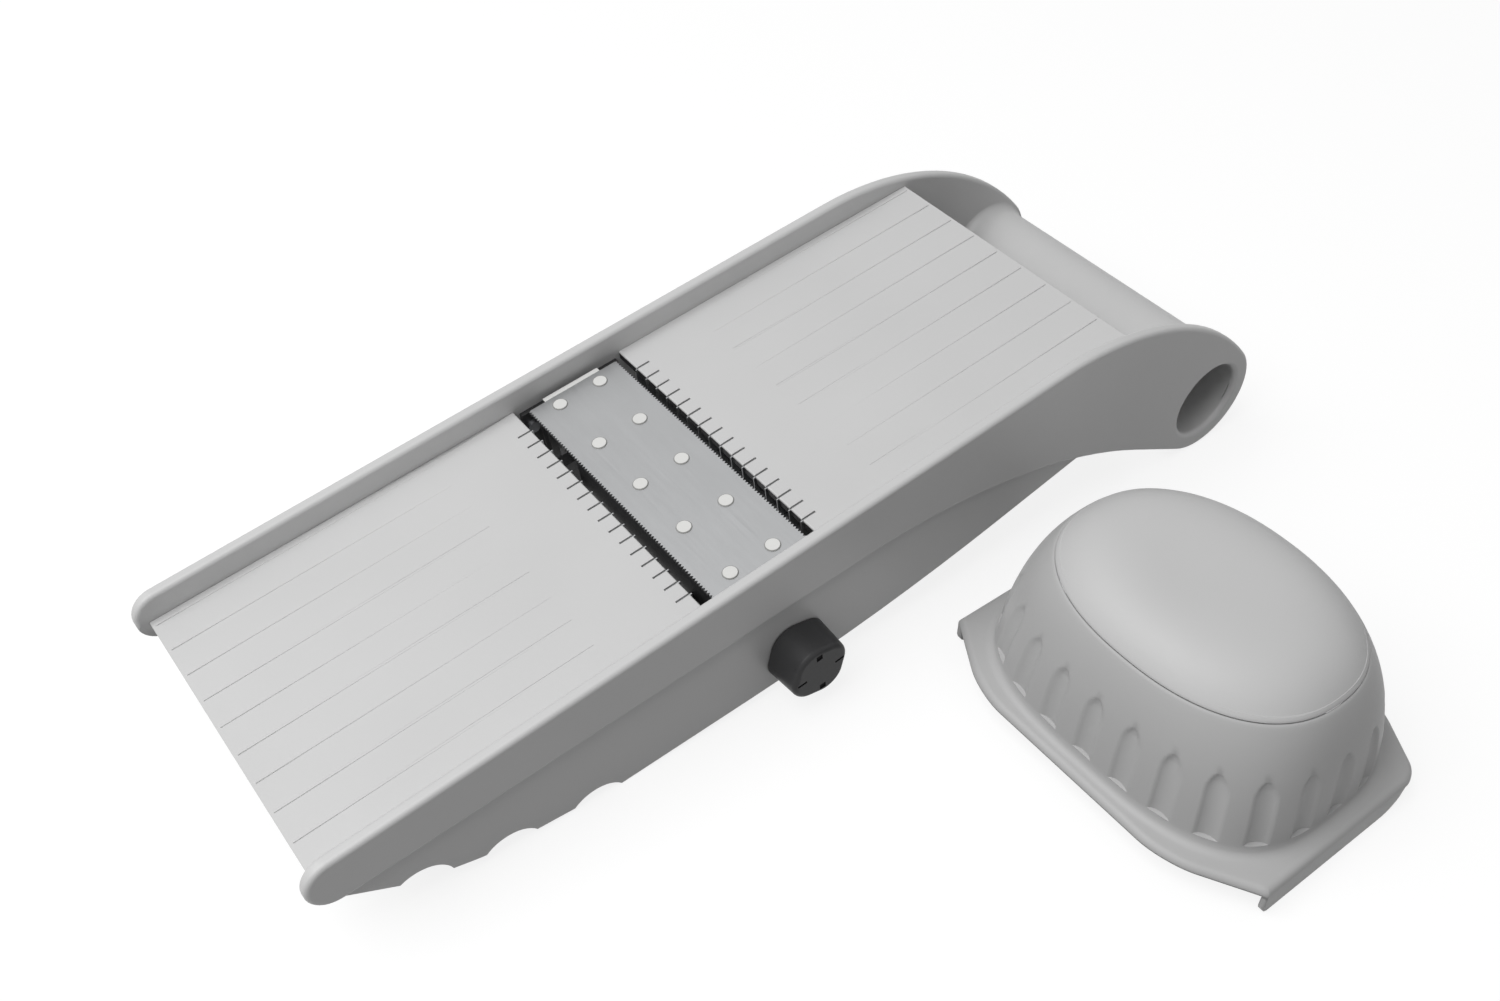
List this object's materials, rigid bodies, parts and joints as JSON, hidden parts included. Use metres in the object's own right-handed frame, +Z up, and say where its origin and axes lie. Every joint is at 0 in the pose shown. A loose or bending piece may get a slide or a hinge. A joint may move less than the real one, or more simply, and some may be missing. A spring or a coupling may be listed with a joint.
{
  "type": "mandoline slicer",
  "caption": "Hand slicer with a sloping deck, a serrated blade plate and julienne combs lifted by a side knob, bowl notches, a tube handle and a domed hand guard.",
  "frame": {"origin": "table level, under the middle of the bounding box of the slicer and the guard beside it", "axes": "+X along the slicer from its low infeed end to its handle, +Y across it towards the panel without the knob, +Z up"},
  "size_m": [0.373, 0.2652, 0.0754],
  "materials": {
    "body_plastic": "satin",
    "light_plastic": "satin",
    "dark_plastic": "satin",
    "knob_plastic": "satin",
    "rubber": "matte",
    "steel": "plated",
    "blade_steel": "ground"
  },
  "bodies": {
    "slicer_frame": {"near_side_panel": "body_plastic", "far_side_panel": "body_plastic", "infeed_deck": "body_plastic", "outfeed_deck": "body_plastic", "handle_tube": "body_plastic", "deck_screws": "steel", "front_feet": "rubber", "near_shaft_bush": "dark_plastic", "far_shaft_bush": "dark_plastic", "near_lift_guide": "dark_plastic", "far_lift_guide": "dark_plastic", "guide_screws": "steel", "guide_posts": "steel", "detent_leaf": "steel", "detent_screw": "steel"},
    "adjuster": {"cam_shaft": "steel", "blade_cams": "dark_plastic", "comb_cams": "dark_plastic", "thrust_washers": "steel", "adjuster_knob": "knob_plastic"},
    "blade_carriage": {"blade_carrier": "dark_plastic", "blade_plate": "blade_steel", "plate_stakes": "light_plastic"},
    "comb_carriage": {"comb_lift_frame": "dark_plastic", "infeed_julienne_comb": "blade_steel", "outfeed_julienne_comb": "blade_steel", "comb_rivets": "steel"},
    "hand_guard": {"guard_shell": "body_plastic", "guard_cap": "body_plastic", "guard_prong_plate": "light_plastic", "guard_prongs": "steel", "guard_screws": "steel"}
  },
  "joints": [
    {"name": "knob_turn", "type": "hinge", "parent": "slicer_frame", "child": "adjuster", "pos_m": [-0.02327, 0.0718, 0.01716], "axis": [0, 1, 0], "range_deg": [0, 270]},
    {"name": "blade_lift", "type": "slide", "parent": "slicer_frame", "child": "blade_carriage", "axis": [-0.1249, 0, 0.9922], "range_m": [0, 0.003]},
    {"name": "comb_lift", "type": "slide", "parent": "slicer_frame", "child": "comb_carriage", "axis": [-0.1249, 0, 0.9922], "range_m": [0, 0.00451]},
    {"name": "guard_lift", "type": "slide", "parent": "slicer_frame", "child": "hand_guard", "axis": [0, 0, 1], "range_m": [0, 0.08]}
  ],
  "couplings": [
    {"joint": "knob_turn", "follows": "blade_lift", "rad_per_m": 1570.8},
    {"joint": "comb_lift", "follows": "blade_lift", "ratio": 1.5}
  ]
}
